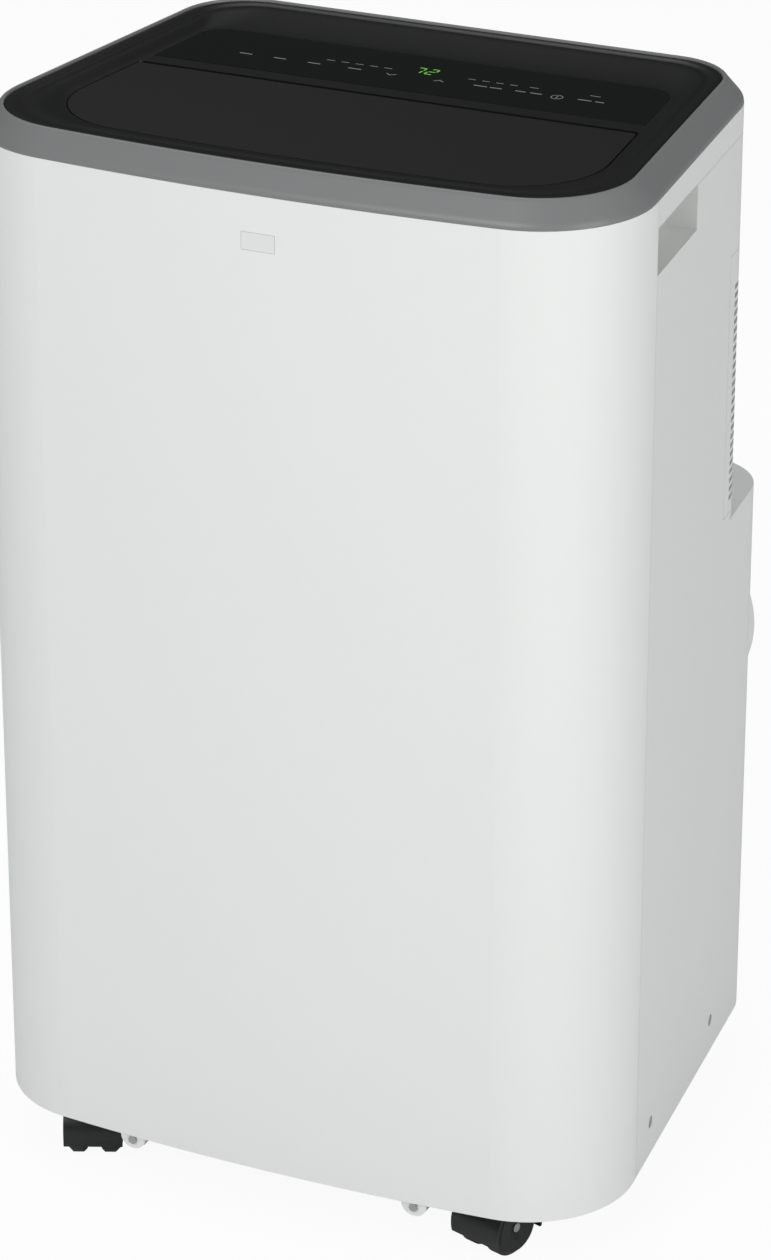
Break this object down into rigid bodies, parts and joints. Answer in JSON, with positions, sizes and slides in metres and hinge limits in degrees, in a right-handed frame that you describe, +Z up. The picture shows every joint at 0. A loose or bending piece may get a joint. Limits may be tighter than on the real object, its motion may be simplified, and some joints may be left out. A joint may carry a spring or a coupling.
{
  "type": "portable air conditioner",
  "caption": "Floor-standing room air conditioner on casters, with a hinged top louver, touch panel, rear filter grilles and an exhaust hose collar.",
  "frame": {"origin": "middle of the footprint, hose collar included, on the floor", "axes": "+Z up, -Y the front face, +X the viewer's right when facing the front"},
  "size_m": [0.438, 0.435, 0.715],
  "materials": {
    "gloss_white_abs": "glossy moulded white ABS",
    "satin_white_abs": "satin moulded white ABS",
    "receiver_lens": "translucent white receiver lens",
    "grey_abs": "satin grey ABS",
    "black_abs": "satin black ABS with a fine moulded grain",
    "black_abs_fine": "fine-grained black ABS",
    "gloss_black_acrylic": "glossy black acrylic",
    "display_black": "display module housing",
    "circuit_board": "green solder mask",
    "foam_white": "moulded foam and plastic air duct",
    "fan_nylon": "dark filled nylon",
    "motor_steel": "zinc-plated sheet steel",
    "zinc_steel": "zinc-plated steel",
    "fin_aluminium": "pressed aluminium fins",
    "copper_tube": "drawn copper tube",
    "compressor_black": "black stove enamel",
    "soft_rubber": "moulded rubber",
    "grey_base": "moulded grey plastic",
    "caster_black": "black nylon",
    "wheel_black": "black nylon wheel",
    "filter_mesh": "woven filter net"
  },
  "bodies": {
    "casing": {"front_panel": "gloss_white_abs", "receiver_window": "receiver_lens", "rear_casing": "satin_white_abs", "top_frame": "satin_white_abs", "hose_port_ring": "satin_white_abs", "casing_screws": "zinc_steel", "panel_screws": "zinc_steel", "top_trim_ring": "grey_abs", "top_cover": "black_abs", "control_fascia": "gloss_black_acrylic", "control_board": "circuit_board", "power_board": "circuit_board", "display_module": "display_black", "louver_shaft": "zinc_steel", "louver_motor": "zinc_steel", "outlet_guard": "black_abs", "outlet_duct": "foam_white", "evaporator_fan_housing": "foam_white", "evaporator_fan_motor": "motor_steel", "condenser_fan_housing": "foam_white", "condenser_fan_motor": "motor_steel", "evaporator_fins": "fin_aluminium", "condenser_fins": "fin_aluminium", "evaporator_bends": "copper_tube", "condenser_bends": "copper_tube", "compressor": "compressor_black", "accumulator": "compressor_black", "compressor_grommets": "soft_rubber", "suction_pipe": "copper_tube", "discharge_pipe": "copper_tube", "capillary_tube": "copper_tube", "base_pan": "grey_base", "drain_deck": "grey_base", "caster_sockets": "caster_black", "front_skid": "caster_black", "cord_gland": "caster_black", "electric_box": "motor_steel", "electric_box_cover": "motor_steel", "run_capacitor": "motor_steel"},
    "louver": {"louver_door": "black_abs_fine"},
    "evaporator_fan": {"evaporator_fan_wheel": "fan_nylon"},
    "condenser_fan": {"condenser_fan_wheel": "fan_nylon"},
    "upper_filter": {"upper_intake_grille": "satin_white_abs", "upper_filter_mesh": "filter_mesh"},
    "lower_filter": {"lower_intake_grille": "satin_white_abs", "lower_filter_mesh": "filter_mesh"},
    "collar": {"hose_collar": "satin_white_abs"},
    "plug": {"drain_plug": "soft_rubber"},
    "swivel_front_left": {"caster_fork_front_left": "caster_black", "caster_axle_front_left": "zinc_steel"},
    "wheels_front_left": {"caster_wheels_front_left": "wheel_black"},
    "swivel_front_right": {"caster_fork_front_right": "caster_black", "caster_axle_front_right": "zinc_steel"},
    "wheels_front_right": {"caster_wheels_front_right": "wheel_black"},
    "swivel_rear_left": {"caster_fork_rear_left": "caster_black", "caster_axle_rear_left": "zinc_steel"},
    "wheels_rear_left": {"caster_wheels_rear_left": "wheel_black"},
    "swivel_rear_right": {"caster_fork_rear_right": "caster_black", "caster_axle_rear_right": "zinc_steel"},
    "wheels_rear_right": {"caster_wheels_rear_right": "wheel_black"}
  },
  "joints": [
    {"name": "louver_hinge", "type": "hinge", "parent": "casing", "child": "louver", "pos_m": [0, -0.0465, 0.706], "axis": [-1, 0, 0], "range_deg": [0, 75]},
    {"name": "evaporator_fan_spin", "type": "hinge", "parent": "casing", "child": "evaporator_fan", "pos_m": [0, -0.0675, 0.515], "axis": [0, 1, 0], "continuous": true},
    {"name": "condenser_fan_spin", "type": "hinge", "parent": "casing", "child": "condenser_fan", "pos_m": [0.075, 0.0575, 0.16], "axis": [0, 1, 0], "continuous": true},
    {"name": "upper_filter_pull", "type": "slide", "parent": "casing", "child": "upper_filter", "axis": [0, 1, 0], "range_m": [0, 0.12]},
    {"name": "lower_filter_pull", "type": "slide", "parent": "casing", "child": "lower_filter", "axis": [0, 1, 0], "range_m": [0, 0.12]},
    {"name": "collar_pull", "type": "slide", "parent": "casing", "child": "collar", "axis": [0, 1, 0], "range_m": [0, 0.04]},
    {"name": "drain_plug_pull", "type": "slide", "parent": "casing", "child": "plug", "axis": [0, 1, 0], "range_m": [0, 0.03]},
    {"name": "swivel_front_left_turn", "type": "hinge", "parent": "casing", "child": "swivel_front_left", "pos_m": [-0.15, -0.1725, 0.06], "axis": [0, 0, 1], "continuous": true},
    {"name": "wheels_front_left_roll", "type": "hinge", "parent": "swivel_front_left", "child": "wheels_front_left", "pos_m": [-0.14512, -0.18346, 0.02], "axis": [0.9135, 0.4067, 0], "continuous": true},
    {"name": "swivel_front_right_turn", "type": "hinge", "parent": "casing", "child": "swivel_front_right", "pos_m": [0.15, -0.1725, 0.06], "axis": [0, 0, 1], "continuous": true},
    {"name": "wheels_front_right_roll", "type": "hinge", "parent": "swivel_front_right", "child": "wheels_front_right", "pos_m": [0.14649, -0.18398, 0.02], "axis": [0.9563, -0.2924, 0], "continuous": true},
    {"name": "swivel_rear_left_turn", "type": "hinge", "parent": "casing", "child": "swivel_rear_left", "pos_m": [-0.14, 0.1025, 0.06], "axis": [0, 0, 1], "continuous": true},
    {"name": "wheels_rear_left_roll", "type": "hinge", "parent": "swivel_rear_left", "child": "wheels_rear_left", "pos_m": [-0.1359, 0.11378, 0.02], "axis": [-0.9397, 0.342, 0], "continuous": true},
    {"name": "swivel_rear_right_turn", "type": "hinge", "parent": "casing", "child": "swivel_rear_right", "pos_m": [0.14, 0.1025, 0.06], "axis": [0, 0, 1], "continuous": true},
    {"name": "wheels_rear_right_roll", "type": "hinge", "parent": "swivel_rear_right", "child": "wheels_rear_right", "pos_m": [0.13493, 0.11338, 0.02], "axis": [-0.9063, -0.4226, 0], "continuous": true}
  ]
}
